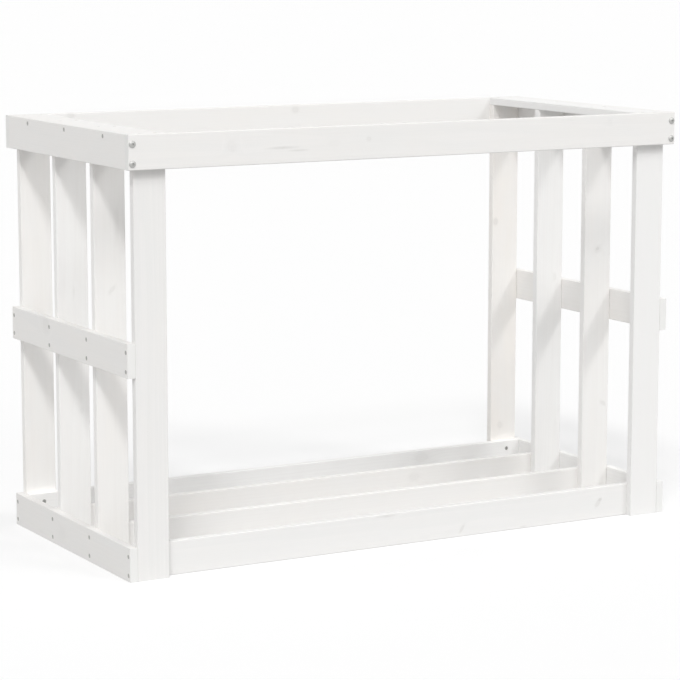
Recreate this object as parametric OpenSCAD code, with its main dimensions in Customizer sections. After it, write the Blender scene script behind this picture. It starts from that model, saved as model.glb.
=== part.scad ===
// Log store: an open rack of painted pine boards, screwed together from two end frames,
// two long top rails and four base boards. It stands on the XY plane, centred on the origin.
// X runs along its width, -Y is the front and +Z is up. All sizes are in millimetres.

/* [Overall size] */
// Width over the outer faces of the two end frames
overall_w = 1080; // [700:10:1600]
// Depth over the outer faces of the front and rear top rails
overall_d = 520; // [360:10:800]
// Height from the floor to the top edge of the rails
overall_h = 740; // [450:10:1200]

/* [Boards] */
// Face width of every board
board_w = 58; // [52:1:80]
// Thickness of every board
board_t = 14; // [13:0.5:20]
// Radius of the eased long edges
edge_r = 1.5; // [0.5:0.25:3]

/* [Countersunk screws] */
// Thread diameter
screw_d = 4; // [3:0.5:5]
// Length of the screws that go into the uprights and the cap boards
screw_l = 30; // [26:1:36]
// Length of the screws that hold the base boards, shorter than two boards are thick
base_screw_l = 24; // [20:1:25]
// Head diameter
screw_head_d = 7.5; // [6.5:0.25:9]
// Depth of a head's face under the face of the board
screw_sink = 0.4; // [0:0.1:1]

/* [Corner screws] */
// Thread diameter of the large screws in the ends of the long top rails
corner_d = 5; // [4:0.5:6]
// Length under the head
corner_l = 60; // [40:1:80]
// Diameter of the domed head
corner_head_d = 12; // [9:0.5:13]
// Height of the domed head
corner_head_h = 3; // [2:0.25:4]
// Width across the flats of the hexagon socket
corner_socket_w = 4; // [3:0.5:5]

/* [Screw places] */
// Distance between the two screws of a pair on a rail or a base board
pair_gap = 32; // [24:1:36]
// Distance from the lower screw of a pair to the lower edge of its board
pair_rise = 10.5; // [8:0.5:14]
// Distance between the two screws that hold a cap board to one upright
cap_pair_gap = 29; // [20:1:36]
// Distance of the cap board's edge screws below the middle of its edge
cap_edge_drop = 2; // [0:0.25:3]

/* [Clearances] */
// Extra radius of a hole round its screw
hole_gap = 0.1; // [0.05:0.05:0.4]
// Spare depth of a blind hole beyond the point of its screw
tip_gap = 1; // [0.5:0.5:2]

/* [Hidden] */

// Colours
paint = "whitesmoke";
zinc = "silver";

// Roundness of the screws, their holes and the eased edges
round_fn = 48;

// Lengths of the boards
side_rail_l = overall_d - 2 * board_t;
upright_l = overall_h - board_t;
base_board_l = overall_w - 2 * board_t;

// Planes of the left end frame
outer_x = -overall_w / 2;
upright_x = outer_x + board_t;
upright_mid_x = upright_x + board_w / 2;
rail_mid_x = outer_x + board_t / 2;

// Lower edges of the rails
top_rail_z = overall_h - board_w;
middle_rail_z = (overall_h - board_w) / 2;
bottom_rail_z = 0;

// The uprights are numbered from the rear, and the outer two are flush with the ends of the side rails
REAR_POST = 0;
REAR_SLAT = 1;
FRONT_SLAT = 2;
FRONT_POST = 3;
UPRIGHTS = [REAR_POST, REAR_SLAT, FRONT_SLAT, FRONT_POST];
upright_pitch = (side_rail_l - board_t) / FRONT_POST;
function upright_y(i) = (side_rail_l - board_t) / 2 - i * upright_pitch;

// The rear base board stands in front of its posts and the others stand behind theirs
function base_side(i) = i == REAR_POST ? -1 : 1;
function base_y(i) = upright_y(i) + base_side(i) * board_t;

// Places of the screws of a pair
PAIR = [pair_rise, pair_rise + pair_gap];
CAP_PAIR = [-cap_pair_gap / 2, cap_pair_gap / 2];

// The edge screws of a cap board sit half-way between the uprights
cap_edge_z = overall_h - board_t / 2 - cap_edge_drop;
CAP_EDGE = [for (i = [REAR_POST : FRONT_SLAT]) upright_y(i) - upright_pitch / 2];

// Parts of a countersunk screw: a thin rim, a cone, a shank with a point, and a cross recess
screw_r = screw_d / 2;
screw_head_r = screw_head_d / 2;
screw_rim = 0.4;
screw_cone_l = screw_head_r - screw_r;
screw_point_l = 1.5 * screw_d;
recess_l = 0.62 * screw_head_d;
recess_w = 0.13 * screw_head_d;
recess_depth = screw_rim + 0.6 * screw_cone_l;

// Parts of a corner screw: a dome that stands on a low rim, a shank with a point, and a socket
corner_r = corner_d / 2;
corner_head_r = corner_head_d / 2;
corner_rim = 0.6;
corner_dome_h = corner_head_h - corner_rim;
corner_dome_r = (pow(corner_head_r, 2) + pow(corner_dome_h, 2)) / (2 * corner_dome_h);
corner_point_l = 1.5 * corner_d;
corner_socket_depth = 0.6 * corner_head_h;

// A cut reaches this far past the face that it opens
over = 1;

// Section of a board with eased corners, board_t wide and board_w high
module board_section() {
    translate([0, edge_r]) square([board_t, board_w - 2 * edge_r]);
    translate([edge_r, 0]) square([board_t - 2 * edge_r, board_w]);
    for (x = [edge_r, board_t - edge_r])
        for (y = [edge_r, board_w - edge_r])
            translate([x, y]) circle(r = edge_r, $fn = round_fn);
}

// A board on edge: length along +X, thickness along +Y and face width along +Z
module board(length) {
    color(paint) rotate([90, 0, 90]) linear_extrude(height = length) board_section();
}

// Countersunk screw that points down, the face of its board at z = 0
module countersunk_screw(length) {
    color(zinc) translate([0, 0, -screw_sink]) difference() {
        rotate_extrude($fn = round_fn) polygon([
            [0, 0],
            [screw_head_r, 0],
            [screw_head_r, -screw_rim],
            [screw_r, -screw_rim - screw_cone_l],
            [screw_r, -length + screw_point_l],
            [0, -length]
        ]);
        for (turn = [0, 90])
            rotate([0, 0, turn])
                translate([-recess_l / 2, -recess_w / 2, -recess_depth])
                    cube([recess_l, recess_w, recess_depth + over]);
    }
}

// Hole for a countersunk screw: sink, cone, shank and point
module countersunk_hole(length) {
    rotate_extrude($fn = round_fn) polygon([
        [0, over],
        [screw_head_r + hole_gap, over],
        [screw_head_r + hole_gap, -screw_sink - screw_rim],
        [screw_r + hole_gap, -screw_sink - screw_rim - screw_cone_l],
        [screw_r + hole_gap, -screw_sink - length - tip_gap],
        [0, -screw_sink - length - tip_gap]
    ]);
}

// Domed screw that points down, the face of its board at z = 0
module corner_screw() {
    color(zinc) difference() {
        union() {
            intersection() {
                translate([0, 0, corner_head_h - corner_dome_r]) sphere(r = corner_dome_r, $fn = round_fn);
                cylinder(r = corner_head_r, h = corner_head_h, $fn = round_fn);
            }
            rotate_extrude($fn = round_fn) polygon([
                [0, corner_rim],
                [corner_r, corner_rim],
                [corner_r, -corner_l + corner_point_l],
                [0, -corner_l]
            ]);
        }
        translate([0, 0, corner_head_h - corner_socket_depth])
            cylinder(d = corner_socket_w / cos(30), h = corner_head_h, $fn = 6);
    }
}

// Hole for the shank of a corner screw
module corner_hole() {
    translate([0, 0, -corner_l - tip_gap])
        cylinder(r = corner_r + hole_gap, h = corner_l + tip_gap + over, $fn = round_fn);
}

// Turns a screw or a hole at the origin so that its head looks along a level direction
module head_towards(direction) {
    rotate([0, 90, atan2(direction.y, direction.x)]) children();
}

// The right end frame is the mirror image of the left one
module right_side() {
    mirror([1, 0, 0]) children();
}

module both_sides() {
    children();
    right_side() children();
}

// Screw places on the left side
module at_rail_screws(rail_z, uprights = UPRIGHTS) {
    for (i = uprights)
        for (rise = PAIR)
            translate([outer_x, upright_y(i), rail_z + rise]) head_towards([-1, 0]) children();
}

module at_cap_edge_screws() {
    for (y = CAP_EDGE)
        translate([outer_x, y, cap_edge_z]) head_towards([-1, 0]) children();
}

module at_cap_face_screws(uprights = UPRIGHTS) {
    for (i = uprights)
        for (x = CAP_PAIR)
            translate([upright_mid_x + x, upright_y(i), overall_h]) children();
}

module at_base_screws(i) {
    for (rise = PAIR)
        translate([upright_mid_x, base_y(i) + base_side(i) * board_t / 2, rise])
            head_towards([0, base_side(i)]) children();
}

module at_corner_screws(end) {
    for (rise = PAIR)
        translate([rail_mid_x, end * overall_d / 2, top_rail_z + rise])
            head_towards([0, end]) children();
}

// One upright of the left end frame, from the floor to the underside of the cap board
module upright(i) {
    difference() {
        translate([upright_x + board_w, upright_y(i) - board_t / 2, 0])
            rotate([0, -90, 0]) board(upright_l);
        at_rail_screws(middle_rail_z, [i]) countersunk_hole(screw_l);
        at_rail_screws(bottom_rail_z, [i]) countersunk_hole(screw_l);
        at_cap_face_screws([i]) countersunk_hole(screw_l);
        at_base_screws(i) countersunk_hole(base_screw_l);
    }
}

// A board along the outer edges of the left uprights
module side_board(rail_z) {
    translate([outer_x + board_t, -side_rail_l / 2, rail_z])
        rotate([0, 0, 90]) board(side_rail_l);
}

module screwed_side_rail(rail_z) {
    difference() {
        side_board(rail_z);
        at_rail_screws(rail_z) countersunk_hole(screw_l);
    }
}

module top_side_rail() {
    difference() {
        side_board(top_rail_z);
        at_cap_edge_screws() countersunk_hole(screw_l);
        for (end = [-1, 1]) at_corner_screws(end) corner_hole();
    }
}

// Flat board on top of the left uprights, level with the top of the rails
module cap_board() {
    difference() {
        translate([upright_x, -side_rail_l / 2, overall_h - board_t])
            rotate([0, 0, 90]) rotate([90, 0, 0]) board(side_rail_l);
        at_cap_edge_screws() countersunk_hole(screw_l);
        at_cap_face_screws() countersunk_hole(screw_l);
    }
}

// Full-width board across the ends of the top side rails, at the front (-1) or the rear (1)
module long_top_rail(end) {
    difference() {
        translate([outer_x, (end * (overall_d - board_t) - board_t) / 2, top_rail_z]) board(overall_w);
        both_sides() at_corner_screws(end) corner_hole();
    }
}

// Board on edge on the floor, between the bottom side rails
module base_board(i) {
    difference() {
        translate([-base_board_l / 2, base_y(i) - board_t / 2, 0]) board(base_board_l);
        both_sides() at_base_screws(i) countersunk_hole(base_screw_l);
    }
}

module rail_screws(rail_z) {
    at_rail_screws(rail_z) countersunk_screw(screw_l);
}

module cap_edge_screws() {
    at_cap_edge_screws() countersunk_screw(screw_l);
}

module cap_face_screws() {
    at_cap_face_screws() countersunk_screw(screw_l);
}

module base_screws(i) {
    both_sides() at_base_screws(i) countersunk_screw(base_screw_l);
}

module corner_screws(end) {
    both_sides() at_corner_screws(end) corner_screw();
}

upright(REAR_POST);  // left_rear_post
upright(REAR_SLAT);  // left_rear_slat
upright(FRONT_SLAT);  // left_front_slat
upright(FRONT_POST);  // left_front_post
right_side() upright(REAR_POST);  // right_rear_post
right_side() upright(REAR_SLAT);  // right_rear_slat
right_side() upright(FRONT_SLAT);  // right_front_slat
right_side() upright(FRONT_POST);  // right_front_post
top_side_rail();  // left_top_rail
screwed_side_rail(middle_rail_z);  // left_middle_rail
screwed_side_rail(bottom_rail_z);  // left_bottom_rail
cap_board();  // left_cap_board
right_side() top_side_rail();  // right_top_rail
right_side() screwed_side_rail(middle_rail_z);  // right_middle_rail
right_side() screwed_side_rail(bottom_rail_z);  // right_bottom_rail
right_side() cap_board();  // right_cap_board
long_top_rail(-1);  // front_top_rail
long_top_rail(1);  // rear_top_rail
base_board(REAR_POST);  // rear_base_board
base_board(REAR_SLAT);  // rear_centre_base_board
base_board(FRONT_SLAT);  // front_centre_base_board
base_board(FRONT_POST);  // front_base_board
corner_screws(-1);  // front_corner_screws
corner_screws(1);  // rear_corner_screws
rail_screws(middle_rail_z);  // left_middle_rail_screws
rail_screws(bottom_rail_z);  // left_bottom_rail_screws
cap_edge_screws();  // left_cap_edge_screws
cap_face_screws();  // left_cap_face_screws
right_side() rail_screws(middle_rail_z);  // right_middle_rail_screws
right_side() rail_screws(bottom_rail_z);  // right_bottom_rail_screws
right_side() cap_edge_screws();  // right_cap_edge_screws
right_side() cap_face_screws();  // right_cap_face_screws
base_screws(REAR_POST);  // rear_base_screws
base_screws(REAR_SLAT);  // rear_centre_base_screws
base_screws(FRONT_SLAT);  // front_centre_base_screws
base_screws(FRONT_POST);  // front_base_screws
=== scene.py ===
"""Log store: an open rack of painted pine boards, dressed and lit for the studio.

The rack stands on the XY plane, centred on the origin. X runs along its width, -Y is the front
and +Z is up. Every place comes from the boxes of the boards in the frame. Sizes are written in
millimetres and turned to metres where a mesh is made.
"""

from __future__ import annotations

import logging
import math
import random
from dataclasses import dataclass, field
from enum import Enum
from typing import Any, Iterator

import bmesh
import bpy
from mathutils import Matrix, Vector

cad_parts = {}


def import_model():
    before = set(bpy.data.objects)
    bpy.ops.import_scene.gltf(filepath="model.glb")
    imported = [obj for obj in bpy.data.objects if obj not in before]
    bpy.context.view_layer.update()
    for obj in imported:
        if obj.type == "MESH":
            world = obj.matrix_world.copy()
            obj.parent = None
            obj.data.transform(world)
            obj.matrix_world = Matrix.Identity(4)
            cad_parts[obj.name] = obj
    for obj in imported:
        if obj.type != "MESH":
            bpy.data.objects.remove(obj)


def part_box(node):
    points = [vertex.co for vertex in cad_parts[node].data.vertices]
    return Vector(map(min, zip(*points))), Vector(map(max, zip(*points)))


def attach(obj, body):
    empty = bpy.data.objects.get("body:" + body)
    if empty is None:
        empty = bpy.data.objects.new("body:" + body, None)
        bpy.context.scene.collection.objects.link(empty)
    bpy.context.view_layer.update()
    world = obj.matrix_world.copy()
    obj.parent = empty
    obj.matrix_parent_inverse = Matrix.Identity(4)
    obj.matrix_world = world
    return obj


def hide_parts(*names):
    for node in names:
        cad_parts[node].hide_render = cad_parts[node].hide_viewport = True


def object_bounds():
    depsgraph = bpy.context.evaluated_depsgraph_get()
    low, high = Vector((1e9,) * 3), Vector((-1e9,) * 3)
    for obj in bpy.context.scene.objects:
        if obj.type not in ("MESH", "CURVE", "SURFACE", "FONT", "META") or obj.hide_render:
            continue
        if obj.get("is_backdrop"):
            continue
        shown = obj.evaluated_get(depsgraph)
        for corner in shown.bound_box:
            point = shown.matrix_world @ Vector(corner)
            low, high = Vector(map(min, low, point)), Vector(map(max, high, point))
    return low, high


MM = 0.001
# Nearly all values of a noise texture lie between these two
NOISE_SPREAD = {"From Min": 0.3, "From Max": 0.7}

log = logging.getLogger("log_store")

BMesh = bmesh.types.BMesh
Material = bpy.types.Material
Mesh = bpy.types.Mesh
Piece = bpy.types.Object
Socket = bpy.types.NodeSocket
Tree = bpy.types.NodeTree


class Side(Enum):
    """One end of the rack, with the way it faces along X."""

    LEFT = -1
    RIGHT = 1

    @property
    def word(self) -> str:
        """The side as it is written in the names of the pieces."""
        return self.name.lower()


class Lie(Enum):
    """How a board lies in the rack: the directions of its length and of its face width."""

    ACROSS_ON_EDGE = ((1, 0, 0), (0, 0, 1))
    ALONG_ON_EDGE = ((0, 1, 0), (0, 0, 1))
    ALONG_FLAT = ((0, 1, 0), (1, 0, 0))
    UPRIGHT = ((0, 0, 1), (1, 0, 0))

    @property
    def length(self) -> Vector:
        """Direction of the board's length."""
        return Vector(self.value[0])

    @property
    def turn(self) -> Matrix:
        """Rotation from the rack's axes to the board's length, width and thickness."""
        width = Vector(self.value[1])
        return Matrix((self.length, width, self.length.cross(width)))


def linear(hex_colour: str) -> tuple[float, float, float, float]:
    """Turns an sRGB colour into the linear one that shaders take.

    Args:
        hex_colour: Colour as #RRGGBB.

    Returns:
        Linear red, green and blue, and an alpha of 1.
    """
    channels = (int(hex_colour[i : i + 2], 16) / 255 for i in (1, 3, 5))
    light = (c / 12.92 if c <= 0.04045 else ((c + 0.055) / 1.055) ** 2.4 for c in channels)
    return *light, 1.0


def blended(first: str, second: str, share: float) -> tuple[float, ...]:
    """Mixes two sRGB colours as light: a share of the second in the first."""
    return tuple(Vector(linear(first)).lerp(Vector(linear(second)), share))


def add_node(
    tree: Tree,
    kind: str,
    inputs: dict[int | str, Any] | None = None,
    output: int | str = 0,
    stops: tuple[tuple[float, float], ...] = (),
    **settings: Any,
) -> Socket | None:
    """Adds a node with its settings, values and links.

    Args:
        tree: Node tree that gets the node.
        kind: Blender's name of the node's type.
        inputs: Value, or socket to link from, of each input by name or number.
        output: Name or number of the output that is wanted.
        stops: Places from 0 to 1 and greys of a ramp, if the node is one.
        **settings: Properties of the node itself.

    Returns:
        The wanted output, or None if the node is the end of its tree.
    """
    node = tree.nodes.new(kind)
    if stops:
        elements = node.color_ramp.elements
        while len(elements) < len(stops):
            elements.new(0.5)
        for element, (position, grey) in zip(elements, stops):
            element.position = position
            element.color = (grey, grey, grey, 1.0)
    for name, value in settings.items():
        setattr(node, name, value)
    for name, value in (inputs or {}).items():
        if isinstance(value, Socket):
            tree.links.new(value, node.inputs[name])
        else:
            node.inputs[name].default_value = value
    return node.outputs[output] if node.outputs else None


def new_material(name: str) -> tuple[Material, Tree]:
    """Starts a material with an empty node tree.

    Args:
        name: Name of the material.

    Returns:
        The material and its tree.
    """
    material = bpy.data.materials.new(name)
    material.use_nodes = True
    material.node_tree.nodes.clear()
    return material, material.node_tree


@dataclass(frozen=True)
class Knot:
    """A knot or a streak of resin that shows faintly through the paint.

    Places are in millimetres from the middle of the board's face. The lean is the angle in
    degrees from the board's length to the mark's long way.
    """

    along: float
    across: float
    radius: float
    strength: float
    stretch: float = 1.3
    lean: float = 0.0

    @property
    def is_streak(self) -> bool:
        """Whether the mark is a long streak of resin, without a rim or rings."""
        return self.stretch > 3.0

    @property
    def profile(self) -> tuple[tuple[float, float], ...]:
        """Darkness from the middle outwards, as stops up to twice the radius."""
        if self.is_streak:
            return (0.0, 1.0), (0.25, 0.8), (0.75, 0.0)
        return (0.0, 1.0), (0.25, 0.8), (0.46, 0.78), (0.54, 0.9), (0.66, 0.4), (1.0, 0.0)

    @property
    def ringing(self) -> float:
        """Strength of the fine rings inside the knot."""
        return 0.0 if self.is_streak else 0.14


@dataclass(frozen=True)
class Figure:
    """The wood that one board was cut from: where the heart of the tree lay, and its marks."""

    seed: int
    pith: tuple[float, float]
    tilt: tuple[float, float]
    ring_gap: float
    # Share of grey in the board's colour: partly its own tone, partly painted shade
    greyness: float
    warmth: float
    knots: tuple[Knot, ...] = ()

    @staticmethod
    def drawn(seed: int, node: str) -> Figure:
        """Draws the wood of one board, and adds the marks, the tone and the painted shade that are
        listed for it.

        Args:
            seed: Seed of the draw.
            node: Node of the board.

        Returns:
            The board's figure.
        """
        draw = random.Random(seed)
        distance = draw.uniform(38, 85)
        bearing = draw.uniform(0.6, 2.5) * draw.choice((-1, 1))
        tilt = (math.radians(draw.uniform(-0.7, 0.7)), math.radians(draw.uniform(-0.7, 0.7)))
        ring_gap = draw.uniform(3.6, 5.4)
        greyness, warmth = TONES_AND_PAINTED_SHADE.get(node, (0.0, draw.uniform(0.1, 0.5)))
        return Figure(
            seed=seed,
            pith=(distance * math.cos(bearing), distance * math.sin(bearing)),
            tilt=tilt,
            ring_gap=ring_gap,
            greyness=greyness,
            warmth=warmth,
            knots=MARKS.get(node, ()),
        )


# Marks that can be seen on the boards
MARKS: dict[str, tuple[Knot, ...]] = {
    "front_top_rail": (
        Knot(-353, 3, 9, 0.10, 0.9),
        Knot(-258, -3, 2.2, 0.34, 13),
        Knot(-229, -8.5, 1.8, 0.30, 11),
        Knot(-161, 0, 5, 0.06, 1.8),
        Knot(-95, 5, 3.5, 0.16, 1.2),
        Knot(399, 14, 4, 0.06, 1.5),
    ),
    "rear_top_rail": (Knot(34, 20, 5, 0.18), Knot(-421, 25, 5, 0.20, 1.4)),
    "front_base_board": (
        Knot(404, 1, 3.6, 0.26, 2.2, 50),
        Knot(408, 6, 2.2, 0.42, 1.6, 20),
        Knot(113, -15, 2.6, 0.24, 3, 59),
        Knot(242, -25, 1.8, 0.25, 5),
        Knot(-42, 26, 2.5, 0.28, 9),
    ),
    "rear_centre_base_board": (Knot(204, 9, 7, 0.10, 1.5),),
    "rear_base_board": (Knot(300, 14, 8, 0.13, 2), Knot(-290, 8, 8, 0.16)),
    "left_middle_rail": (Knot(92, 16, 12, 0.12, 1.1),),
    "left_bottom_rail": (Knot(35, -2, 12, 0.05, 1.1), Knot(132, -17, 3, 0.08, 5)),
    "left_front_slat": (Knot(104, 3, 3, 0.16, 2.5, 40), Knot(210, 12, 5, 0.12, 7)),
    "left_rear_slat": (Knot(80, 2, 2.2, 0.14, 6), Knot(-130, 12, 3, 0.10, 2)),
    "right_rear_post": (Knot(133, -22, 4.5, 0.26), Knot(-276, -6, 5.5, 0.18, 1.2)),
    "right_rear_slat": (Knot(40, 11, 4, 0.10, 1.5),),
    "right_front_slat": (
        Knot(111, 0, 5.5, 0.12, 1.4, 50),
        Knot(112, 0, 2.8, 0.34, 1.3, 60),
        Knot(-181, 17, 3.5, 0.20, 1.8, -60),
    ),
    "right_top_rail": (Knot(70, 5, 8, 0.16),),
    "right_bottom_rail": (Knot(-150, 6, 7, 0.14),),
    "right_cap_board": (Knot(-150, 6, 6, 0.14),),
}

# How far some boards are greyer and warmer than the others. The greyness is partly the board's own
# tone and partly painted shade: it darkens the boards that get less light, most of all the left
# side rails, the left front post, the front top rail and the front base board.
TONES_AND_PAINTED_SHADE: dict[str, tuple[float, float]] = {
    "front_top_rail": (0.48, 0.3),
    "rear_top_rail": (0.22, 0.3),
    "left_top_rail": (0.43, 0.35),
    "left_middle_rail": (0.46, 0.35),
    "left_bottom_rail": (0.48, 0.35),
    "left_cap_board": (0.28, 0.3),
    "left_front_post": (0.52, 0.2),
    "right_cap_board": (0.08, 0.1),
    "right_front_post": (0.22, 0.1),
    "right_rear_post": (0.0, 0.7),
    "right_middle_rail": (0.0, 0.4),
    "rear_base_board": (0.0, 0.1),
    "rear_centre_base_board": (0.1, 0.4),
    "front_centre_base_board": (0.12, 0.35),
    "front_base_board": (0.44, 0.15),
}


@dataclass(frozen=True)
class Pattern:
    """The sockets that carry a board's pattern. All but the place run from 0 to 1."""

    place: Socket
    rings: Socket
    knots: Socket
    fibre: Socket
    streak: Socket
    mottle: Socket
    edge: Socket
    end: Socket


@dataclass(frozen=True)
class PaintedPine:
    """Planed pine under a thin coat of white water-based paint.

    The coat is even and satin, and the growth rings, fibres and knots show through it faintly
    and raise it a little. It is thinner on the eased edges and sinks into the end grain. Sizes
    and reliefs are in millimetres, and shares run from 0 to 1. The rag, the rings and the bend
    of a knot go by its width.
    """

    paint: str = "#F4F4F3"
    # Grey that a board's colour is mixed towards, for its own greyer tone and for painted shade
    grey: str = "#D9D9D8"
    grain: str = "#EEEDEC"
    warm: str = "#F2EDE7"
    knot: str = "#B4B1AC"
    edge: str = "#E4E0DB"
    end: str = "#EAEAE8"
    ring_share: float = 0.28
    fibre_share: float = 0.34
    streak_share: float = 0.18
    edge_share: float = 0.35
    end_share: float = 0.8
    edge_depth: float = 0.3
    end_depth: tuple[float, float] = (0.1, 0.7)
    seed_step: tuple[float, float, float] = (137.0, 71.0, 29.0)
    # Grain lines of real pine are about 0.5 mm wide. They are drawn 1.4 mm wide so that they show.
    fibre_size: tuple[float, float] = (70.0, 1.4)
    streak_size: tuple[float, float] = (280.0, 8.0)
    mottle_size: tuple[float, float] = (120.0, 45.0)
    wander_size: tuple[float, float] = (420.0, 70.0)
    wander: float = 9.0
    late_wood: tuple[tuple[float, float], ...] = (
        (0.0, 0.0),
        (0.5, 0.2),
        (0.84, 0.9),
        (0.93, 1.0),
        (1.0, 0.05),
    )
    rag_size: float = 9.0
    rag: float = 0.225
    knot_rings: float = 8.0
    bend_reach: float = 1.6
    bend: float = 0.9
    ring_relief: float = 0.035
    fibre_relief: float = 0.045
    knot_relief: float = 0.25
    coat_relief: float = 0.020
    coat_size: tuple[float, float] = (4.0, 2.2)
    roughness: float = 0.52
    sheen_spread: float = 0.07
    end_dulling: float = 0.25

    def material(self, name: str, board: Board) -> Material:
        """Makes the material of one board.

        Args:
            name: Name of the material.
            board: Board that it covers.

        Returns:
            The material.
        """
        material, tree = new_material(name)
        figure = board.figure
        place = self._board_place(tree, board)
        shift = [figure.seed * step for step in self.seed_step]
        shifted = add_node(tree, "ShaderNodeVectorMath", {0: place, 1: shift}, operation="ADD")
        rings, knots = self._growth(tree, place, self._wander(tree, shifted), figure)
        mottle = self._stretched(tree, shifted, self.mottle_size, 2.0)
        edge, end = self._borders(tree, place, board, mottle)
        pattern = Pattern(
            place=shifted,
            rings=rings,
            knots=knots,
            fibre=self._stretched(tree, shifted, self.fibre_size, 3.0),
            streak=self._stretched(tree, shifted, self.streak_size, 2.0),
            mottle=mottle,
            edge=edge,
            end=end,
        )
        colour = self._colour(tree, pattern, figure)
        relief, sheen = self._relief(tree, pattern)
        values = {"Base Color": colour, "Roughness": sheen, "Normal": relief}
        shader = add_node(tree, "ShaderNodeBsdfPrincipled", values)
        add_node(tree, "ShaderNodeOutputMaterial", {"Surface": shader})
        return material

    @staticmethod
    def _board_place(tree: Tree, board: Board) -> Socket:
        """Gives places on the board in millimetres: along it, across its face and through it.

        Args:
            tree: Node tree of the material.
            board: Board that is covered.

        Returns:
            The place, from the middle of the board.
        """
        turn = board.lie.turn
        values = {
            "Vector": add_node(tree, "ShaderNodeTexCoord", output="Object"),
            "Location": turn @ board.middle / -MM,
            "Rotation": turn.to_euler(),
            "Scale": (1 / MM, 1 / MM, 1 / MM),
        }
        return add_node(tree, "ShaderNodeMapping", values)

    @staticmethod
    def _drawn_out(
        tree: Tree, place: Socket, size: tuple[float, float], output: str = "Fac", **values: float
    ) -> Socket:
        """Makes noise of a given length along the board and a given width.

        Args:
            tree: Node tree of the material.
            place: Place on the board in millimetres.
            size: Length and width of the pattern in millimetres.
            output: Fac for one value, or Color for three.
            **values: Detail of the noise, and its Roughness where that matters.

        Returns:
            The noise.
        """
        length, width = size
        scaled = add_node(
            tree, "ShaderNodeVectorMath", {0: place, 1: (length, width, width)}, operation="DIVIDE"
        )
        return add_node(
            tree, "ShaderNodeTexNoise", {"Vector": scaled, "Scale": 1.0, **values}, output
        )

    def _wander(self, tree: Tree, place: Socket) -> Socket:
        """Makes the slow random shift that keeps the rings from running dead straight.

        Args:
            tree: Node tree of the material.
            place: Place on the board in millimetres.

        Returns:
            The shift in millimetres.
        """
        noise = self._drawn_out(tree, place, self.wander_size, "Color", Detail=1.0)
        centred = add_node(
            tree, "ShaderNodeVectorMath", {0: noise, 1: (0.5, 0.5, 0.5)}, operation="SUBTRACT"
        )
        return add_node(
            tree, "ShaderNodeVectorMath", {0: centred, "Scale": self.wander}, operation="SCALE"
        )

    def _stretched(
        self, tree: Tree, place: Socket, size: tuple[float, float], detail: float
    ) -> Socket:
        """Makes noise that is drawn out along the board, spread over 0 to 1."""
        noise = self._drawn_out(tree, place, size, Detail=detail, Roughness=0.55)
        return add_node(tree, "ShaderNodeMapRange", {"Value": noise, **NOISE_SPREAD})

    def _growth(
        self, tree: Tree, place: Socket, wander: Socket, figure: Figure
    ) -> tuple[Socket, Socket]:
        """Makes the growth rings, bent round the knots, and the knots themselves.

        Args:
            tree: Node tree of the material.
            place: Place on the board in millimetres.
            wander: Slow random shift in millimetres.
            figure: Wood of the board.

        Returns:
            Late wood from 0 to 1, and knots from 0 to 1.
        """
        strayed = add_node(tree, "ShaderNodeVectorMath", {0: place, 1: wander}, operation="ADD")
        values = {
            "Vector": strayed,
            "Location": (0.0, -figure.pith[0], -figure.pith[1]),
            "Rotation": (0.0, figure.tilt[0], figure.tilt[1]),
        }
        trunk = add_node(tree, "ShaderNodeMapping", values)
        section = add_node(
            tree, "ShaderNodeVectorMath", {0: trunk, 1: (0.0, 1.0, 1.0)}, operation="MULTIPLY"
        )
        radius = add_node(
            tree, "ShaderNodeVectorMath", {0: section}, output="Value", operation="LENGTH"
        )
        values = {"Vector": place, "Scale": 1 / self.rag_size, "Detail": 3.0}
        rag = add_node(tree, "ShaderNodeTexNoise", values)
        dark: Socket | float = 0.0
        for knot in figure.knots:
            bend, shade = self._mark(tree, strayed, rag, knot)
            radius = add_node(tree, "ShaderNodeMath", {0: radius, 1: bend}, operation="ADD")
            dark = add_node(tree, "ShaderNodeMath", {0: dark, 1: shade}, operation="MAXIMUM")
        count = add_node(
            tree, "ShaderNodeMath", {0: radius, 1: figure.ring_gap}, operation="DIVIDE"
        )
        year = add_node(tree, "ShaderNodeMath", {0: count}, operation="FRACT")
        return add_node(tree, "ShaderNodeValToRGB", {"Fac": year}, stops=self.late_wood), dark

    def _mark(self, tree: Tree, place: Socket, rag: Socket, knot: Knot) -> tuple[Socket, Socket]:
        """Draws one knot or streak.

        Args:
            tree: Node tree of the material.
            place: Place on the board in millimetres.
            rag: Noise that frays the rim.
            knot: The mark.

        Returns:
            How far it pushes the rings aside, in millimetres, and its darkness from 0 to 1.
        """
        # Divides by the mark's length and width. The zero leaves the depth in the board out.
        values = {
            "Vector": place,
            "Location": (knot.along, knot.across, 0.0),
            "Rotation": (0.0, 0.0, math.radians(knot.lean)),
            "Scale": (2 * knot.radius * knot.stretch, 2 * knot.radius, 0.0),
        }
        reach = add_node(tree, "ShaderNodeMapping", values, vector_type="TEXTURE")
        distance = add_node(
            tree, "ShaderNodeVectorMath", {0: reach}, output="Value", operation="LENGTH"
        )
        values = {
            "Value": distance,
            "From Max": self.bend_reach,
            "To Min": self.bend * knot.radius,
            "To Max": 0.0,
        }
        bend = add_node(tree, "ShaderNodeMapRange", values, interpolation_type="SMOOTHSTEP")
        frayed = add_node(
            tree, "ShaderNodeMath", {0: rag, 1: self.rag, 2: distance}, operation="MULTIPLY_ADD"
        )
        body = add_node(tree, "ShaderNodeValToRGB", {"Fac": frayed}, stops=knot.profile)
        phase = add_node(
            tree,
            "ShaderNodeMath",
            {0: distance, 1: self.knot_rings * math.tau},
            operation="MULTIPLY",
        )
        ripple = add_node(tree, "ShaderNodeMath", {0: phase}, operation="SINE")
        depth = add_node(
            tree,
            "ShaderNodeMath",
            {0: ripple, 1: knot.ringing * knot.strength, 2: knot.strength},
            operation="MULTIPLY_ADD",
        )
        shade = add_node(tree, "ShaderNodeMath", {0: body, 1: depth}, operation="MULTIPLY")
        return bend, shade

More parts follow.
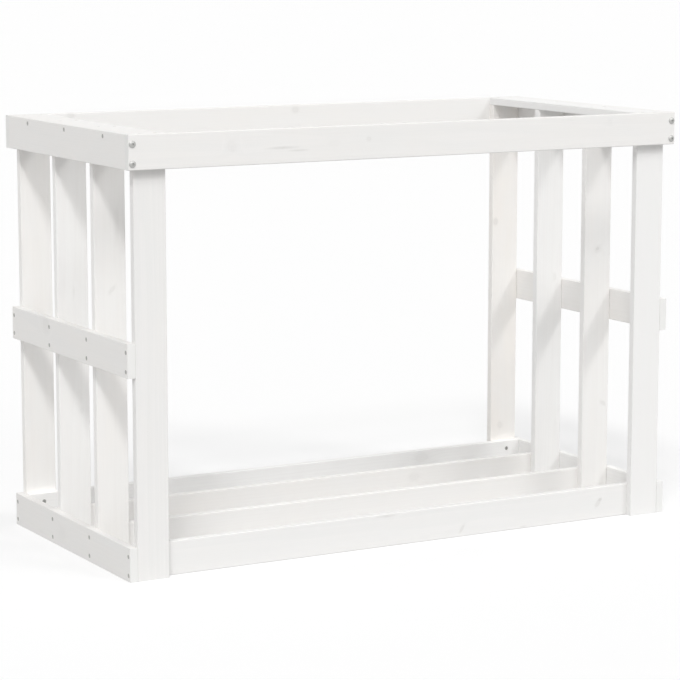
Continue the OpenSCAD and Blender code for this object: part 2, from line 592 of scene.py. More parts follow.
    def _borders(
        self, tree: Tree, place: Socket, board: Board, mottle: Socket
    ) -> tuple[Socket, Socket]:
        """Finds the eased long edges and the end grain.

        Args:
            tree: Node tree of the material.
            place: Place on the board in millimetres.
            board: Board that is covered.
            mottle: Slow noise that breaks up the wear of the edges.

        Returns:
            Edges from 0 to 1, and end grain from 0 to 1.
        """
        apart = add_node(tree, "ShaderNodeVectorMath", {0: place}, operation="ABSOLUTE")
        inset = add_node(
            tree, "ShaderNodeVectorMath", {0: apart, 1: board.size / 2 / MM}, operation="SUBTRACT"
        )
        along, across, through = (
            add_node(tree, "ShaderNodeSeparateXYZ", {0: inset}, output=axis) for axis in "XYZ"
        )
        corner = add_node(tree, "ShaderNodeMath", {0: across, 1: through}, operation="MINIMUM")
        spans = ((corner, (self.edge_depth, board.edge_radius)), (along, self.end_depth))
        worn, end = (
            add_node(
                tree,
                "ShaderNodeMapRange",
                {"Value": way, "From Min": -inner, "From Max": -outer},
                interpolation_type="SMOOTHSTEP",
            )
            for way, (outer, inner) in spans
        )
        edge = add_node(tree, "ShaderNodeMath", {0: worn, 1: mottle}, operation="MULTIPLY")
        return edge, end

    @staticmethod
    def _summed(tree: Tree, parts: tuple[tuple[Socket, float], ...]) -> Socket | float:
        """Adds up parts, each times its share.

        Args:
            tree: Node tree of the material.
            parts: Each part and its share.

        Returns:
            The sum.
        """
        total: Socket | float = 0.0
        for part, share in parts:
            total = add_node(
                tree, "ShaderNodeMath", {0: part, 1: share, 2: total}, operation="MULTIPLY_ADD"
            )
        return total

    def _colour(self, tree: Tree, pattern: Pattern, figure: Figure) -> Socket:
        """Lays the wood's figure, the knots and the borders into the paint's colour.

        Args:
            tree: Node tree of the material.
            pattern: Pattern of the board.
            figure: Wood of the board.

        Returns:
            The colour.
        """
        figured = (
            (pattern.rings, self.ring_share),
            (pattern.fibre, self.fibre_share),
            (pattern.streak, self.streak_share),
        )
        half = figure.warmth / 2
        warm = add_node(
            tree, "ShaderNodeMath", {0: pattern.mottle, 1: half, 2: half}, operation="MULTIPLY_ADD"
        )
        layers = (
            (self._summed(tree, figured), self.grain),
            (warm, self.warm),
            (self._summed(tree, ((pattern.edge, self.edge_share),)), self.edge),
            (self._summed(tree, ((pattern.end, self.end_share),)), self.end),
            (pattern.knots, self.knot),
        )
        # Greys the paint by the board's own tone and by the painted shade listed for it
        colour: Any = blended(self.paint, self.grey, figure.greyness)
        for amount, shade in layers:
            colour = add_node(
                tree,
                "ShaderNodeMix",
                {0: amount, 6: colour, 7: linear(shade)},
                output=2,
                data_type="RGBA",
                clamp_factor=True,
            )
        return colour

    def _relief(self, tree: Tree, pattern: Pattern) -> tuple[Socket, Socket]:
        """Raises the grain under the coat and varies the sheen.

        Args:
            tree: Node tree of the material.
            pattern: Pattern of the board.

        Returns:
            The raised surface's normal, and the roughness.
        """
        coat = self._drawn_out(tree, pattern.place, self.coat_size, Detail=2.0)
        raised = (
            (pattern.rings, self.ring_relief),
            (pattern.fibre, self.fibre_relief),
            (coat, self.coat_relief),
            (pattern.knots, self.knot_relief),
        )
        values = {"Height": self._summed(tree, raised), "Strength": 1.0, "Distance": MM}
        bump = add_node(tree, "ShaderNodeBump", values)
        values = {
            "Value": coat,
            **NOISE_SPREAD,
            "To Min": self.roughness - self.sheen_spread,
            "To Max": self.roughness + self.sheen_spread,
        }
        sheen = add_node(tree, "ShaderNodeMapRange", values)
        dull = add_node(
            tree,
            "ShaderNodeMath",
            {0: pattern.end, 1: self.end_dulling, 2: sheen},
            operation="MULTIPLY_ADD",
        )
        return bump, dull


@dataclass(frozen=True)
class BarePine:
    """Unpainted pine in drilled holes: matt, pale yellow and fuzzy. Sizes are in millimetres."""

    early: str = "#DCC9AA"
    late: str = "#C8AE86"
    roughness: float = 0.8
    grain_size: float = 1.2
    fuzz: float = 0.15

    def material(self) -> Material:
        """Makes the material.

        Returns:
            The material.
        """
        material, tree = new_material("bare pine in drilled holes")
        values = {
            "Vector": add_node(tree, "ShaderNodeTexCoord", output="Object"),
            "Scale": 1 / (self.grain_size * MM),
            "Detail": 3.0,
        }
        grain = add_node(tree, "ShaderNodeTexNoise", values)
        values = {0: grain, 6: linear(self.early), 7: linear(self.late)}
        colour = add_node(tree, "ShaderNodeMix", values, output=2, data_type="RGBA")
        values = {"Height": grain, "Distance": self.fuzz * MM}
        bump = add_node(tree, "ShaderNodeBump", values)
        values = {"Base Color": colour, "Roughness": self.roughness, "Normal": bump}
        shader = add_node(tree, "ShaderNodeBsdfPrincipled", values)
        add_node(tree, "ShaderNodeOutputMaterial", {"Surface": shader})
        return material


@dataclass(frozen=True)
class ZincPlate:
    """Bright zinc on steel screws: a soft, slightly cloudy grey metal. Sizes are in millimetres."""

    bright: str = "#C8C8C6"
    dull: str = "#A9A9A7"
    roughness: float = 0.55
    sheen_spread: tuple[float, float] = (0.06, 0.10)
    cloud_size: float = 1.6
    grit_size: float = 0.3
    grit_relief: float = 0.02

    def material(self) -> Material:
        """Makes the material.

        Returns:
            The material.
        """
        material, tree = new_material("bright zinc plated steel")
        place = add_node(tree, "ShaderNodeTexCoord", output="Object")
        cloud, grit = (
            add_node(
                tree,
                "ShaderNodeTexNoise",
                {"Vector": place, "Scale": 1 / (size * MM), "Detail": detail},
            )
            for size, detail in ((self.cloud_size, 3.0), (self.grit_size, 1.0))
        )
        values = {0: cloud, 6: linear(self.bright), 7: linear(self.dull)}
        colour = add_node(tree, "ShaderNodeMix", values, output=2, data_type="RGBA")
        values = {
            "Value": cloud,
            **NOISE_SPREAD,
            "To Min": self.roughness - self.sheen_spread[0],
            "To Max": self.roughness + self.sheen_spread[1],
        }
        sheen = add_node(tree, "ShaderNodeMapRange", values)
        values = {"Height": grit, "Distance": self.grit_relief * MM}
        bump = add_node(tree, "ShaderNodeBump", values)
        values = {"Base Color": colour, "Metallic": 1.0, "Roughness": sheen, "Normal": bump}
        shader = add_node(tree, "ShaderNodeBsdfPrincipled", values)
        add_node(tree, "ShaderNodeOutputMaterial", {"Surface": shader})
        return material


def combined(base: Mesh, tool: Mesh, operation: str) -> Mesh:
    """Cuts a tool out of a mesh, or joins it on, as solids.

    Args:
        base: Closed mesh that is worked on.
        tool: Closed mesh that cuts it or is joined to it.
        operation: DIFFERENCE or UNION.

    Returns:
        The new mesh. Both given meshes are used up.
    """
    work = bpy.data.objects.new("work", base)
    cutter = bpy.data.objects.new("tool", tool)
    for item in (work, cutter):
        bpy.context.scene.collection.objects.link(item)
    modifier = work.modifiers.new("solid", "BOOLEAN")
    modifier.operation = operation
    modifier.object = cutter
    modifier.solver = "EXACT"
    modifier.material_mode = "TRANSFER"
    evaluated = work.evaluated_get(bpy.context.evaluated_depsgraph_get())
    result = bpy.data.meshes.new_from_object(evaluated)
    for item in (work, cutter):
        bpy.data.objects.remove(item)
    for mesh in (base, tool):
        bpy.data.meshes.remove(mesh)
    return result


def to_mesh(shape: BMesh, name: str, *materials: Material) -> Mesh:
    """Turns a bmesh into a mesh with its materials.

    Args:
        shape: The bmesh. It is used up.
        name: Name of the mesh.
        *materials: Materials in the order of their slots.

    Returns:
        The mesh.
    """
    mesh = bpy.data.meshes.new(name)
    shape.to_mesh(mesh)
    shape.free()
    for material in materials:
        mesh.materials.append(material)
    return mesh


def join(shape: BMesh, part: BMesh) -> None:
    """Adds a part to a bmesh.

    Args:
        shape: The bmesh that grows.
        part: What is added. It is used up.
    """
    spare = to_mesh(part, "part")
    shape.from_mesh(spare)
    bpy.data.meshes.remove(spare)


def turned(profile: list[tuple[float, float]], steps: int) -> BMesh:
    """Turns a profile round Z into a closed solid.

    Args:
        profile: Radius and height of each corner in millimetres, from axis to axis.
        steps: Number of flats round the axis.

    Returns:
        The solid, in metres.
    """
    shape = bmesh.new()
    corners = [shape.verts.new((radius * MM, 0.0, height * MM)) for radius, height in profile]
    lines = [shape.edges.new(pair) for pair in zip(corners, corners[1:])]
    bmesh.ops.spin(
        shape, geom=corners + lines, axis=(0, 0, 1), angle=math.tau, steps=steps, use_merge=True
    )
    bmesh.ops.remove_doubles(shape, verts=shape.verts, dist=0.001 * MM)
    bmesh.ops.recalc_face_normals(shape, faces=shape.faces)
    return shape


def finish_piece(mesh: Mesh, name: str, node: str, smooth_below: float) -> Piece:
    """Shades a mesh, makes it an object and puts it in the place of a node.

    Args:
        mesh: Mesh in the rack's own frame.
        name: Name of the piece.
        node: Node that it stands for.
        smooth_below: Edges that turn by less than this angle in degrees are shaded smooth.

    Returns:
        The finished piece.
    """
    mesh.name = name
    mesh.shade_smooth()
    mesh.set_sharp_from_angle(angle=math.radians(smooth_below))
    piece = bpy.data.objects.new(name, mesh)
    bpy.context.scene.collection.objects.link(piece)
    weighted = piece.modifiers.new("flat faces stay flat", "WEIGHTED_NORMAL")
    weighted.mode = "FACE_AREA"
    weighted.weight = 100
    weighted.keep_sharp = True
    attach(piece, "root")
    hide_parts(node)
    log.info("%s: %d faces", name, len(mesh.polygons))
    return piece


@dataclass(frozen=True)
class Place:
    """Where a screw sits: a point on the face of its board and the way its head looks."""

    point: Vector
    outward: Vector

    def matrix(self, turn: float = 0.0) -> Matrix:
        """Places a screw that is drawn pointing down, turned about its own axis."""
        facing = self.outward.to_track_quat("Z", "Y").to_matrix().to_4x4()
        return Matrix.Translation(self.point) @ facing @ Matrix.Rotation(turn, 4, "Z")


@dataclass(frozen=True)
class Screw:
    """Countersunk wood screw with a cross recess.

    Sizes are in millimetres. The core, the thread, the point, the eased rim and the recess are
    shares of the thread's radius, the length, the thread's diameter, the rim and the head.
    """

    length: float
    thread_d: float = 4.0
    head_d: float = 7.5
    sink: float = 0.4
    rim: float = 0.4
    pitch: float = 1.8
    hole_gap: float = 0.1
    tip_gap: float = 1.0
    rim_ease: float = 0.25
    core_share: float = 0.66
    point_share: float = 1.5
    thread_share: float = 0.6
    thread_root: float = 0.12
    ridge_half: float = 0.3
    run_out: float = 0.6
    recess_w: float = 0.62
    arm_w: float = 0.15
    recess_d: float = 0.75
    arm_taper: tuple[float, float, float] = (0.45, 0.8, 1.0)
    over: float = 0.5
    flats: int = 32
    thread_steps: int = 16

    @property
    def thread_r(self) -> float:
        """Radius over the crest of the thread."""
        return self.thread_d / 2

    @property
    def core_r(self) -> float:
        """Radius of the shank under the thread."""
        return self.core_share * self.thread_r

    @property
    def cone_l(self) -> float:
        """Height of the 45 degree cone under the head."""
        return self.head_d / 2 - self.thread_r

    @property
    def point_l(self) -> float:
        """Length of the point."""
        return self.point_share * self.thread_d

    def profile(self) -> list[tuple[float, float]]:
        """Gives the outline of the head, the shank and the point.

        Returns:
            Radius and height of each corner in millimetres, from axis to axis.
        """
        top = -self.sink
        head_r = self.head_d / 2
        ease = self.rim_ease * self.rim
        neck = top - self.rim - (head_r - self.core_r)
        return [
            (0, top),
            (head_r - ease, top),
            (head_r, top - ease),
            (head_r, top - self.rim),
            (self.core_r, neck),
            (self.core_r, top - self.length + self.point_l),
            (0, top - self.length),
        ]

    def hole_profile(self) -> list[tuple[float, float]]:
        """Gives the outline of the hole that the screw sits in, open above the face.

        Returns:
            Radius and height of each corner in millimetres, from axis to axis.
        """
        wide = self.head_d / 2 + self.hole_gap
        narrow = self.thread_r + self.hole_gap
        bottom = -self.sink - self.length - self.tip_gap
        return [
            (0, 1),
            (wide, 1),
            (wide, -self.sink),
            (wide, -self.sink - self.rim),
            (narrow, -self.sink - self.rim - self.cone_l),
            (narrow, bottom),
            (0, bottom),
        ]

    def thread_span(self) -> tuple[float, float]:
        """Heights of the upper and the lower end of the thread, which runs onto the point."""
        upper = -self.sink - (1 - self.thread_share) * self.length
        return upper, -self.sink - self.length + self.run_out * self.point_l

    def recesses(self) -> Iterator[BMesh]:
        """Makes the cutters of the cross recess, whose arms narrow towards the bottom.

        Yields:
            One cutter for each arm, in metres.
        """
        arm = self.recess_w * self.head_d
        width = self.arm_w * self.head_d
        depth = self.rim + self.recess_d * self.cone_l
        height = depth + self.over
        for turn in (0.0, math.pi / 2):
            shape = bmesh.new()
            made = bmesh.ops.create_cube(shape, size=1.0)["verts"]
            bmesh.ops.scale(shape, vec=(arm * MM, width * MM, height * MM), verts=made)
            lower = [v for v in made if v.co.z < 0]
            bmesh.ops.scale(shape, vec=self.arm_taper, verts=lower)
            middle = -self.sink + (self.over - depth) / 2
            bmesh.ops.translate(shape, vec=(0, 0, middle * MM), verts=made)
            bmesh.ops.rotate(
                shape, cent=(0, 0, 0), matrix=Matrix.Rotation(turn, 3, "Z"), verts=made
            )
            yield shape

    def thread(self) -> BMesh:
        """Winds the thread: a three-cornered ridge on a helix, sunk a little into the shank.

        Returns:
            The ridge, in metres.
        """
        upper, lower = self.thread_span()
        turns = (upper - lower) / self.pitch
        steps = round(turns * self.thread_steps)
        root_r = self.core_r - self.thread_root
        half = self.ridge_half * self.pitch
        shape = bmesh.new()
        ridge = ((root_r, upper + half), (self.thread_r, upper), (root_r, upper - half))
        corners = [shape.verts.new((radius * MM, 0.0, height * MM)) for radius, height in ridge]
        lines = [shape.edges.new((corners[i], corners[(i + 1) % 3])) for i in range(3)]
        bmesh.ops.spin(
            shape,
            geom=corners + lines,
            axis=(0, 0, 1),
            dvec=(0, 0, -(upper - lower) / steps * MM),
            angle=turns * math.tau,
            steps=steps,
        )
        bmesh.ops.holes_fill(shape, edges=[e for e in shape.edges if e.is_boundary], sides=3)
        bmesh.ops.recalc_face_normals(shape, faces=shape.faces)
        return shape

    def mesh(self, material: Material) -> Mesh:
        """Builds the screw, pointing down from a face at the height of zero.

        Args:
            material: Material of the screw.

        Returns:
            The screw, in metres.
        """
        body = to_mesh(turned(self.profile(), self.flats), "screw", material)
        for cutter in self.recesses():
            body = combined(body, to_mesh(cutter, "recess", material), "DIFFERENCE")
        return combined(body, to_mesh(self.thread(), "thread", material), "UNION")

    def depth(self) -> float:
        """Depth of the hole under the face."""
        return self.sink + self.length + self.tip_gap


@dataclass(frozen=True)
class DomedScrew(Screw):
    """Corner screw with a domed head that stands on the face, and a hexagon socket."""

    length: float = 60.0
    thread_d: float = 5.0
    head_d: float = 12.0
    sink: float = 0.0
    rim: float = 0.6
    pitch: float = 2.4
    head_h: float = 3.0
    socket_w: float = 4.0
    socket_floor: float = 0.35
    mouth_d: float = 0.5
    over: float = 1.0
    dome_steps: int = 10
    flats: int = 48

    def profile(self) -> list[tuple[float, float]]:
        """Gives the outline of the dome, its rim, the shank and the point.

        Returns:
            Radius and height of each corner in millimetres, from axis to axis.
        """
        head_r = self.head_d / 2
        rise = self.head_h - self.rim
        dome_r = (head_r**2 + rise**2) / (2 * rise)
        reach = math.asin(head_r / dome_r)
        angles = [reach * i / self.dome_steps for i in range(self.dome_steps)]
        dome = [(dome_r * math.sin(a), self.head_h - dome_r * (1 - math.cos(a))) for a in angles]
        ease = self.rim_ease * self.rim
        return dome + [
            (head_r - 0.3 * ease, self.rim + ease),
            (head_r, self.rim - ease),
            (head_r, ease),
            (head_r - ease, 0),
            (self.core_r, 0),
            (self.core_r, -self.length + self.point_l),
            (0, -self.length),
        ]

    def hole_profile(self) -> list[tuple[float, float]]:
        """Outline of the hole of the shank."""
        radius = self.thread_r + self.hole_gap
        return [(0, 1), (radius, 1), (radius, -self.depth()), (0, -self.depth())]

    def recesses(self) -> Iterator[BMesh]:
        """Makes the cutters of the hexagon socket and of its eased mouth.

        Yields:
            A hexagon prism and a round cone, in metres.
        """
        corner_r = self.socket_w / 2 / math.cos(math.pi / 6)
        floor = self.socket_floor * self.head_h
        mouth = self.head_h - self.mouth_d
        high = self.head_h + self.over
        reach = high - mouth
        for sides, narrow, wide, low in (
            (6, corner_r, corner_r, floor),
            (self.flats, self.socket_w / 2, self.socket_w / 2 + reach, mouth),
        ):
            shape = bmesh.new()
            bmesh.ops.create_cone(
                shape,
                cap_ends=True,
                segments=sides,
                radius1=narrow * MM,
                radius2=wide * MM,
                depth=(high - low) * MM,
            )
            bmesh.ops.translate(shape, vec=(0, 0, (low + high) / 2 * MM), verts=shape.verts)
            yield shape


@dataclass(frozen=True)
class ScrewSet:
    """The screws that hold one board, in one node."""

    node: str
    kind: Screw
    places: tuple[Place, ...]


@dataclass
class Board:
    """One planed board of the rack, at its real size, with the holes of its screws."""

    node: str
    lie: Lie
    figure: Figure
    edge_radius: float = 1.5
    end_ease: float = 0.4
    low: Vector = field(init=False)
    high: Vector = field(init=False)

    def __post_init__(self) -> None:
        """Takes the board's box from the frame."""
        self.low, self.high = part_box(self.node)

    @property
    def middle(self) -> Vector:
        """Centre of the board in metres."""
        return (self.low + self.high) / 2

    @property
    def size(self) -> Vector:
        """Length, width and thickness of the board in metres."""
        turned_size = self.lie.turn @ (self.high - self.low)
        return Vector(abs(v) for v in turned_size)

    def blank(self) -> BMesh:
        """Planes the board: a block with rounded long edges and slightly eased ends.

        Returns:
            The block, in metres.
        """
        along = self.lie.length
        shape = bmesh.new()
        bmesh.ops.create_cube(shape, size=1.0)
        bmesh.ops.scale(shape, vec=self.high - self.low, verts=shape.verts)
        bmesh.ops.translate(shape, vec=self.middle, verts=shape.verts)
        long_edges = [e for e in shape.edges if self._runs_along(e)]
        self._ease(shape, long_edges, self.edge_radius, segments=4)
        end_faces = [f for f in shape.faces if abs(f.normal.dot(along)) > 0.9]
        self._ease(shape, [e for f in end_faces for e in f.edges], self.end_ease, segments=2)
        bmesh.ops.recalc_face_normals(shape, faces=shape.faces)
        return shape

    def _runs_along(self, edge: bmesh.types.BMEdge) -> bool:
        """Says whether an edge runs along the board."""
        start, end = (v.co for v in edge.verts)
        return abs((start - end).dot(self.lie.length)) > MM

    @staticmethod
    def _ease(shape: BMesh, edges: list[bmesh.types.BMEdge], radius: float, segments: int) -> None:
        """Rounds edges.

        Args:
            shape: The board, in metres.
            edges: Edges that are rounded.
            radius: Radius in millimetres.
            segments: Number of flats across the rounding.
        """
        bmesh.ops.bevel(
            shape,
            geom=edges,
            offset=radius * MM,
            offset_type="OFFSET",
            segments=segments,
            profile=0.5,
            affect="EDGES",
            material=-1,
        )

    def takes(self, place: Place, kind: Screw) -> bool:
        """Says whether a screw's hole runs into this board.

        Args:
            place: Where the screw sits.
            kind: The screw.

        Returns:
            True if it does.
        """
        tip = place.point - place.outward * kind.depth() * MM
        slack = 0.05 * MM
        mouth = place.point + place.outward * MM
        return all(
            max(a, b) > low + slack and min(a, b) < high - slack
            for a, b, low, high in zip(mouth, tip, self.low, self.high)
        )

    def holes(self, sets: list[ScrewSet]) -> BMesh:
        """Gathers the cutters of all holes in this board.

        The paint runs into the mouth of a hole, down to the head of the screw.

        Args:
            sets: All screws of the rack.

        Returns:
            The cutters, in metres, with the board's paint as their first material.
        """
        cutters = bmesh.new()
        for screws in sets:
            for place in screws.places:
                if not self.takes(place, screws.kind):
                    continue
                hole = turned(screws.kind.hole_profile(), screws.kind.flats)
                for face in hole.faces:
                    head_top = -screws.kind.sink * MM
                    face.material_index = int(face.calc_center_median().z < head_top)
                bmesh.ops.transform(hole, matrix=place.matrix(), verts=hole.verts)
                join(cutters, hole)
        return cutters

    def build(self, sets: list[ScrewSet], finish: PaintedPine, bare: Material) -> Piece:
        """Makes, drills and paints the board.

        Args:
            sets: All screws of the rack.
            finish: Paint of the boards.
            bare: Material of the walls of the holes.

        Returns:
            The finished board.
        """
        paint = finish.material(f"white painted pine, {self.node.replace('_', ' ')}", self)
        mesh = to_mesh(self.blank(), self.node, paint)
        mesh = combined(mesh, to_mesh(self.holes(sets), "holes", paint, bare), "DIFFERENCE")
        return finish_piece(mesh, f"{self.node}_timber", self.node, 40.0)


@dataclass
class EndFrame:
    """One end of the rack: four uprights, three rails on their outer edges and a cap board."""

    side: Side
    seed: int
    uprights: tuple[str, ...] = ("rear_post", "rear_slat", "front_slat", "front_post")
    rails: tuple[str, ...] = ("top_rail", "middle_rail", "bottom_rail")

    def boards(self) -> list[Board]:
        """Lists the boards of this end.

        Returns:
            Uprights from the rear, rails from the top, and the cap board.
        """
        parts = [(name, Lie.UPRIGHT) for name in self.uprights]
        parts += [(name, Lie.ALONG_ON_EDGE) for name in self.rails]
        parts.append(("cap_board", Lie.ALONG_FLAT))
        made = []
        for number, (name, lie) in enumerate(parts):
            node = f"{self.side.word}_{name}"
            made.append(Board(node, lie, Figure.drawn(self.seed + number, node)))
        return made


@dataclass
class LongBoards:
    """The boards that join the two ends: two top rails and four base boards on the floor."""

    seed: int
    names: tuple[str, ...] = (
        "front_top_rail",
        "rear_top_rail",
        "rear_base_board",
        "rear_centre_base_board",
        "front_centre_base_board",
        "front_base_board",
    )

    def boards(self) -> list[Board]:
        """Lists the boards that run along the width of the rack.

        Returns:
            The two top rails and the base boards from the rear.
        """
        return [
            Board(node, Lie.ACROSS_ON_EDGE, Figure.drawn(self.seed + number, node))
            for number, node in enumerate(self.names)
        ]


@dataclass
class Fixings:
    """All screws of the rack. Their places follow from the boards that they hold."""

    pair_gap: float = 32.0
    pair_rise: float = 10.5
    cap_pair_gap: float = 29.0
    cap_edge_drop: float = 2.0
    seed: int = 7
    long_screw: Screw = Screw(length=30.0)
    short_screw: Screw = Screw(length=24.0)
    corner_screw: DomedScrew = DomedScrew()
    uprights: tuple[str, ...] = EndFrame.uprights
    rails: tuple[str, ...] = EndFrame.rails[1:]
    base_boards: tuple[str, ...] = LongBoards.names[2:]

    @staticmethod
    def _middle(node: str) -> Vector:
        """Centre of a node's box."""
        low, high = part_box(node)
        return (low + high) / 2

    def _pairs(self, board: str, out: Vector, held: list[str]) -> tuple[Place, ...]:
        """Places two screws, one above the other, through a board into each board that it holds.

        Args:
            board: Node of the board that the screws pass.
            out: The way that the heads look.
            held: Nodes of the boards that are held.

        Returns:
            The places, the lower one of each pair first.
        """
        low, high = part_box(board)
        face = high if sum(out) > 0 else low
        rises = (self.pair_rise, self.pair_rise + self.pair_gap)
        places = []
        for middle in map(self._middle, held):
            x = face.x if out.x else middle.x
            y = face.y if out.y else middle.y
            places += [Place(Vector((x, y, low.z + rise * MM)), out) for rise in rises]
        return tuple(places)

    def _cap_edge(self, side: Side) -> ScrewSet:
        """Places the screws through a top side rail into the edge of the cap board.

        Args:
            side: End of the rack.

        Returns:
            The screws between the uprights.
        """
        out = Vector((side.value, 0, 0))
        low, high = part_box(f"{side.word}_top_rail")
        x = high.x if side is Side.RIGHT else low.x
        z = self._middle(f"{side.word}_cap_board").z - self.cap_edge_drop * MM
        rows = [self._middle(f"{side.word}_{upright}").y for upright in self.uprights]
        places = tuple(
            Place(Vector((x, (first + second) / 2, z)), out)
            for first, second in zip(rows, rows[1:])
        )
        return ScrewSet(f"{side.word}_cap_edge_screws", self.long_screw, places)

    def _cap_face(self, side: Side) -> ScrewSet:
        """Places the screws down through a cap board into the uprights.

        Args:
            side: End of the rack.

        Returns:
            The cap board's screws.
        """
        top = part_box(f"{side.word}_cap_board")[1].z
        half = self.cap_pair_gap / 2 * MM
        out = Vector((0, 0, 1))
        places = []
        for upright in self.uprights:
            x, y, _ = self._middle(f"{side.word}_{upright}")
            places += [Place(Vector((x + shift, y, top)), out) for shift in (-half, half)]
        return ScrewSet(f"{side.word}_cap_face_screws", self.long_screw, tuple(places))

    def sets(self) -> list[ScrewSet]:
        """Lists all screws of the rack, node by node.

        Returns:
            One set for each node of screws.
        """
        made = []
        for word, facing in (("front", -1), ("rear", 1)):
            held = [f"{side.word}_top_rail" for side in Side]
            places = self._pairs(f"{word}_top_rail", Vector((0, facing, 0)), held)
            made.append(ScrewSet(f"{word}_corner_screws", self.corner_screw, places))
        for side in Side:
            held = [f"{side.word}_{upright}" for upright in self.uprights]
            for rail in self.rails:
                places = self._pairs(f"{side.word}_{rail}", Vector((side.value, 0, 0)), held)
                made.append(ScrewSet(f"{side.word}_{rail}_screws", self.long_screw, places))
            made += [self._cap_edge(side), self._cap_face(side)]
        for board, upright in zip(self.base_boards, self.uprights):
            held = [f"{side.word}_{upright}" for side in Side]
            behind = self._middle(board).y > self._middle(held[0]).y
            places = self._pairs(board, Vector((0, 1 if behind else -1, 0)), held)
            made.append(ScrewSet(f"{board.replace('_board', '')}_screws", self.short_screw, places))
        return made

    def build(self, sets: list[ScrewSet], zinc: Material) -> Iterator[Piece]:
        """Drives the screws, each turned by its own chance angle.

        Args:
            sets: All screws of the rack.
            zinc: Material of the screws.

        Yields:
            One finished piece for each set.
        """
        draw = random.Random(self.seed)
        patterns: dict[Screw, Mesh] = {}
        for screws in sets:
            if screws.kind not in patterns:
                patterns[screws.kind] = screws.kind.mesh(zinc)
            shape = bmesh.new()
            for place in screws.places:
                one = bmesh.new()
                one.from_mesh(patterns[screws.kind])
                matrix = place.matrix(draw.uniform(0, math.tau))
                bmesh.ops.transform(one, matrix=matrix, verts=one.verts)
                join(shape, one)
            mesh = to_mesh(shape, screws.node, zinc)
            yield finish_piece(mesh, f"{screws.node}_steel", screws.node, 35.0)
        for pattern in patterns.values():
            bpy.data.meshes.remove(pattern)


@dataclass(frozen=True)
class Lamp:
    """A row of far, soft lamps that runs from front to back.

    Each lamp stands a number of steps to the right and to the front for each step up. The power
    is that of the whole row, and the width is the angle in degrees that one lamp fills.
    """

    name: str
    right: float
    front: tuple[float, ...]
    power: float
    width: float

    def directions(self) -> Iterator[Vector]:
        """Yields the direction to each lamp of the row."""
        for front in self.front:
            yield Vector((self.right, -front, 1.0)).normalized()


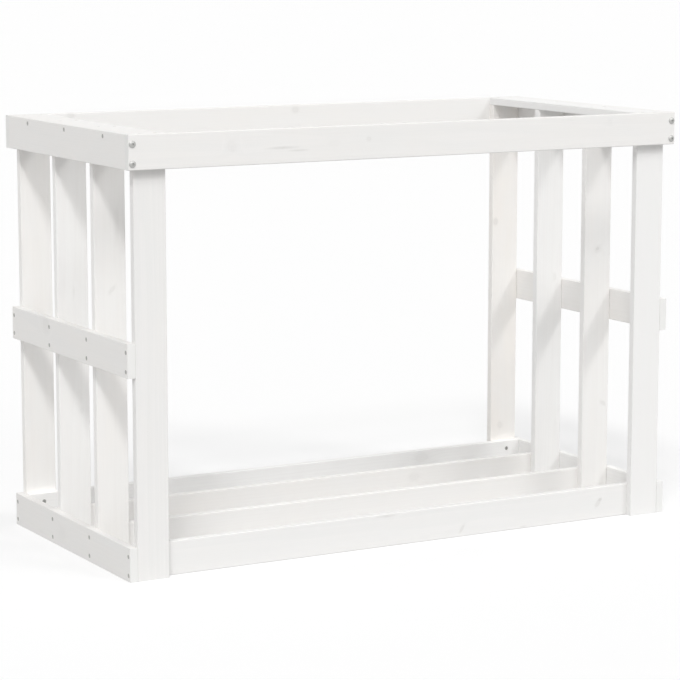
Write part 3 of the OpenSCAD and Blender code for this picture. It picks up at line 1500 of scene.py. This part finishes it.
@dataclass
class Studio:
    """A plain pale floor, soft lamps at the front left and right, a surround and the camera.

    The surround has a lit band on its front half and a lit backdrop on its rear half. The
    borders of both are heights from 0, the horizon, to 1, overhead, and the parting of the two
    halves runs from front to back.
    """

    front: float = 0.44
    walls: float = 1.04
    backdrop: float = 1.2
    rear_ceiling: float = 0.0
    band: tuple[float, ...] = (0.26, 0.38, 0.74, 0.84)
    backdrop_top: tuple[float, float] = (0.6, 0.4)
    parting: tuple[float, float] = (-0.1, 0.1)
    floor_colour: str = "#C4C4C4"
    floor_seen: str = "#FBFBFB"
    shadow_share: float = 0.5
    floor_radius: float = 60.0
    lamp_distance: float = 3.0
    lamps: tuple[Lamp, ...] = (
        Lamp("left lamp", -0.506, (0.5, 0.7, 0.86), 1.28, 8.5),
        Lamp("left fill", -0.35, (0.45,), 0.22, 20.0),
        Lamp("right lamp", 0.65, (0.85, 1.08, 1.35), 0.60, 8.5),
    )
    azimuth: float = 29.263
    elevation: float = 9.024
    distance: float = 4.6689
    target: tuple[float, float, float] = (-0.00583, 0.0, 0.33029)
    lens: float = 136.47
    sensor: float = 36.0

    @staticmethod
    def _seen(tree: Tree) -> Socket:
        """Tells what the camera sees, directly or in gloss and glass, from what gives light.

        Args:
            tree: Node tree of the world or of the floor.

        Returns:
            1 for what is seen and 0 for light.
        """
        seen: Socket | float = 0.0
        for ray in ("Is Camera Ray", "Is Glossy Ray", "Is Transmission Ray"):
            one = add_node(tree, "ShaderNodeLightPath", output=ray)
            seen = add_node(tree, "ShaderNodeMath", {0: seen, 1: one}, operation="MAXIMUM")
        return seen

    def surround(self) -> None:
        """Lights the object from the band in front and the backdrop, and shows plain white."""
        world = bpy.data.worlds.new("studio surround")
        bpy.context.scene.world = world
        world.use_nodes = True
        tree = world.node_tree
        tree.nodes.clear()
        towards = add_node(tree, "ShaderNodeTexCoord", output="Generated")
        back, up = (
            add_node(tree, "ShaderNodeSeparateXYZ", {0: towards}, output=axis) for axis in "YZ"
        )
        start, full, fade, stop = self.band
        stops = ((start, 0.0), (full, 1.0), (fade, 1.0), (stop, 0.0))
        band = add_node(tree, "ShaderNodeValToRGB", {"Fac": up}, stops=stops)
        behind, low = (
            add_node(tree, "ShaderNodeMapRange", {"Value": way, "From Min": dark, "From Max": lit})
            for way, (dark, lit) in ((back, self.parting), (up, self.backdrop_top))
        )
        levels = ((band, self.front, self.walls), (low, self.rear_ceiling, self.backdrop))
        front, rear = (
            add_node(tree, "ShaderNodeMapRange", {"Value": share, "To Min": dark, "To Max": lit})
            for share, dark, lit in levels
        )
        values = {"Value": behind, "To Min": front, "To Max": rear}
        level = add_node(tree, "ShaderNodeMapRange", values)
        values = {"Value": self._seen(tree), "To Min": level, "To Max": 1.0}
        strength = add_node(tree, "ShaderNodeMapRange", values)
        values = {"Color": (1.0, 1.0, 1.0, 1.0), "Strength": strength}
        light = add_node(tree, "ShaderNodeBackground", values)
        add_node(tree, "ShaderNodeOutputWorld", {"Surface": light})

    def floor(self) -> None:
        """Lays a wide pale floor that keeps a soft shadow of the object.

        Seen by the camera it is nearly white. From below it is open, so that the underside of
        the object can be looked at.
        """
        shape = bmesh.new()
        bmesh.ops.create_circle(shape, cap_ends=True, segments=96, radius=self.floor_radius)
        bmesh.ops.recalc_face_normals(shape, faces=shape.faces)
        if next(iter(shape.faces)).normal.z < 0:
            bmesh.ops.reverse_faces(shape, faces=shape.faces)
        material, tree = new_material("pale studio floor")
        matt = add_node(tree, "ShaderNodeBsdfDiffuse", {"Color": linear(self.floor_colour)})
        shaded = add_node(tree, "ShaderNodeBsdfDiffuse", {"Color": linear(self.floor_seen)})
        white = add_node(tree, "ShaderNodeEmission", {"Strength": 1.0})
        clear = add_node(tree, "ShaderNodeBsdfTransparent")
        below = add_node(tree, "ShaderNodeNewGeometry", output="Backfacing")
        shown = add_node(tree, "ShaderNodeMixShader", {0: self.shadow_share, 1: white, 2: shaded})
        above = add_node(tree, "ShaderNodeMixShader", {0: self._seen(tree), 1: matt, 2: shown})
        both = add_node(tree, "ShaderNodeMixShader", {0: below, 1: above, 2: clear})
        add_node(tree, "ShaderNodeOutputMaterial", {"Surface": both})
        piece = bpy.data.objects.new("studio_floor", to_mesh(shape, "studio_floor", material))
        bpy.context.scene.collection.objects.link(piece)
        piece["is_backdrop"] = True

    @staticmethod
    def _towards(azimuth: float, elevation: float) -> Vector:
        """Direction to a point seen from the object: azimuth from the front towards +X."""
        a, e = math.radians(azimuth), math.radians(elevation)
        return Vector((math.sin(a) * math.cos(e), -math.cos(a) * math.cos(e), math.sin(e)))

    def hang_lamps(self) -> None:
        """Hangs the lamps of each row, each with its share of the row's power."""
        for lamp in self.lamps:
            for towards in lamp.directions():
                data = bpy.data.lights.new(lamp.name, "SUN")
                data.energy = lamp.power / len(lamp.front)
                data.angle = math.radians(lamp.width)
                hung = bpy.data.objects.new(lamp.name, data)
                hung.location = towards * self.lamp_distance
                hung.rotation_euler = towards.to_track_quat("Z", "Y").to_euler()
                bpy.context.scene.collection.objects.link(hung)

    def camera(self) -> None:
        """Sets the camera at the photograph's viewing angle, at the front left."""
        data = bpy.data.cameras.new("camera")
        data.lens = self.lens
        data.sensor_width = self.sensor
        data.clip_end = 200.0
        camera = bpy.data.objects.new("camera", data)
        back = self._towards(-self.azimuth, self.elevation)
        camera.location = Vector(self.target) + back * self.distance
        camera.rotation_euler = back.to_track_quat("Z", "Y").to_euler()
        bpy.context.scene.collection.objects.link(camera)
        bpy.context.scene.camera = camera

    def build(self) -> None:
        """Sets up the whole studio."""
        bpy.context.scene.view_settings.view_transform = "Standard"
        self.camera()
        self.surround()
        self.floor()
        self.hang_lamps()


def main() -> None:
    """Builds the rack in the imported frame, board by board and screw by screw."""
    logging.basicConfig(level=logging.INFO, format="%(name)s: %(message)s")
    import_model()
    cad_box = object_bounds()
    Studio().build()
    log.info("studio: floor, rows of lamps, surround and camera")
    fixings = Fixings()
    sets = fixings.sets()
    finish = PaintedPine()
    bare = BarePine().material()
    parts = (EndFrame(Side.LEFT, 11), EndFrame(Side.RIGHT, 31), LongBoards(51))
    for part in parts:
        for board in part.boards():
            board.build(sets, finish, bare)
    for _ in fixings.build(sets, ZincPlate().material()):
        pass
    boxes = {"cad": cad_box, "visual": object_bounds()}
    {name: [list(corner) for corner in box] for name, box in boxes.items()}


if __name__ == "__main__":
    main()
